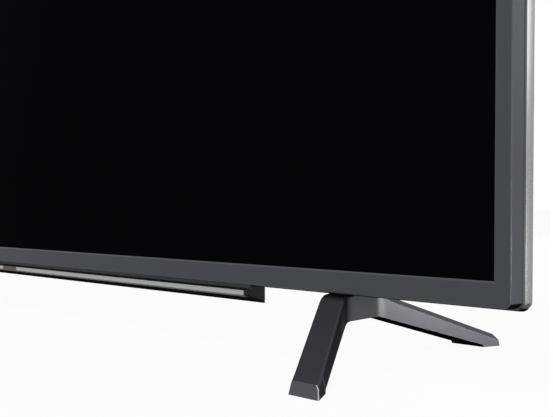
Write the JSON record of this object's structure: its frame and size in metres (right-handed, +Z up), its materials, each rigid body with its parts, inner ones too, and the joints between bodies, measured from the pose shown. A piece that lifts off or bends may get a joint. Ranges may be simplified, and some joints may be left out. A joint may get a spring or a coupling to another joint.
{
  "type": "flat screen television",
  "caption": "Flat screen television: black panel in a thin dark bezel with a bright rim, a trim bar below it, splayed angular feet, and a rear cover with sockets, keys and wall mount.",
  "frame": {"origin": "on the floor, midway between the feet across and midway between front and rear toes", "axes": "+X to the viewer's right along the screen, +Y to the back, +Z up"},
  "size_m": [1.2376, 0.2434, 0.7646],
  "materials": {
    "bezel_plastic": "satin dark grey",
    "screen_glass": "black, anti-glare",
    "rim_silver": "silver painted",
    "cover_black": "fine texture",
    "foot_paint": "dark grey painted casting",
    "pad_rubber": "matte",
    "strip_silver": "satin",
    "bar_plastic": "satin dark grey",
    "bar_black": "matte black",
    "ir_window": "dark red, glossy",
    "steel_sheet": "zinc plated",
    "steel_turned": "nickel plated",
    "screw_black": "blackened",
    "board_green": "solder mask",
    "board_tan": "bare laminate",
    "film_white": "white diffusing",
    "frame_black": "matte",
    "foam_black": "foam",
    "lens_clear": "clear",
    "sink_aluminium": "anodised",
    "socket_metal": "bright",
    "socket_black": "matte",
    "winding": "taped",
    "capacitor_can": "sleeved",
    "flex_film": "film",
    "lead_black": "insulated",
    "lead_red": "insulated",
    "ribbon_blue": "film",
    "speaker_plastic": "matte",
    "speaker_metal": "plated",
    "cone_fibre": "pressed fibre",
    "key_black": "satin"
  },
  "bodies": {
    "cabinet": {"front_bezel": "bezel_plastic", "panel_foam_tape": "foam_black", "lcd_panel": "screen_glass", "middle_frame": "frame_black", "optical_films": "film_white", "diffuser_plate": "film_white", "diffuser_pins": "film_white", "led_lenses": "lens_clear", "led_bars": "film_white", "reflector_sheet": "film_white", "backlight_chassis": "steel_sheet", "source_boards": "board_green", "panel_flexes": "flex_film", "rear_shell": "rim_silver", "electronics_cover": "cover_black", "vesa_standoffs": "steel_turned", "cabinet_screws": "screw_black", "main_board": "board_green", "heat_sink": "sink_aluminium", "hdmi_sockets": "socket_metal", "usb_sockets": "socket_metal", "lan_socket": "socket_metal", "optical_socket": "socket_black", "headphone_socket": "socket_black", "aerial_socket": "socket_metal", "wifi_module": "socket_metal", "tcon_board": "board_green", "power_board": "board_tan", "transformer": "winding", "capacitors": "capacitor_can", "mains_inlet": "socket_black", "board_spacers": "steel_turned", "ribbon_cable": "ribbon_blue", "power_harness": "lead_red", "speaker_lead_left": "lead_black", "speaker_lead_right": "lead_black", "speaker_box_left": "speaker_plastic", "speaker_box_right": "speaker_plastic", "speaker_driver_left": "speaker_metal", "speaker_driver_right": "speaker_metal", "trim_bar": "bar_plastic", "bar_bottom_plate": "bar_black", "trim_strip": "strip_silver", "ir_lens": "ir_window", "ir_board": "board_green", "key_panel": "key_black", "key_board": "board_green", "left_foot": "foot_paint", "right_foot": "foot_paint", "foot_pads": "pad_rubber", "foot_screws": "screw_black", "stand_brackets": "steel_sheet"},
    "power_key": {"power_button": "key_black"},
    "source_key": {"source_button": "key_black"},
    "volume_key": {"volume_rocker": "key_black"},
    "channel_key": {"channel_rocker": "key_black"},
    "cone_left": {"speaker_cone_left": "cone_fibre"},
    "cone_right": {"speaker_cone_right": "cone_fibre"}
  },
  "joints": [
    {"name": "power_press", "type": "slide", "parent": "cabinet", "child": "power_key", "axis": [0, -1, 0], "range_m": [0, 0.0008], "stiffness_N_per_m": 800},
    {"name": "source_press", "type": "slide", "parent": "cabinet", "child": "source_key", "axis": [0, -1, 0], "range_m": [0, 0.0008], "stiffness_N_per_m": 800},
    {"name": "volume_rock", "type": "hinge", "parent": "cabinet", "child": "volume_key", "pos_m": [0.56, -0.0084, 0.1934], "axis": [1, 0, 0], "range_deg": [-3, 3], "stiffness_Nm_per_rad": 0.15},
    {"name": "channel_rock", "type": "hinge", "parent": "cabinet", "child": "channel_key", "pos_m": [0.56, -0.0084, 0.1614], "axis": [1, 0, 0], "range_deg": [-3, 3], "stiffness_Nm_per_rad": 0.15},
    {"name": "cone_left_travel", "type": "slide", "parent": "cabinet", "child": "cone_left", "axis": [0, 0, 1], "range_m": [-0.001, 0.001], "stiffness_N_per_m": 1500},
    {"name": "cone_right_travel", "type": "slide", "parent": "cabinet", "child": "cone_right", "axis": [0, 0, 1], "range_m": [-0.001, 0.001], "stiffness_N_per_m": 1500}
  ]
}
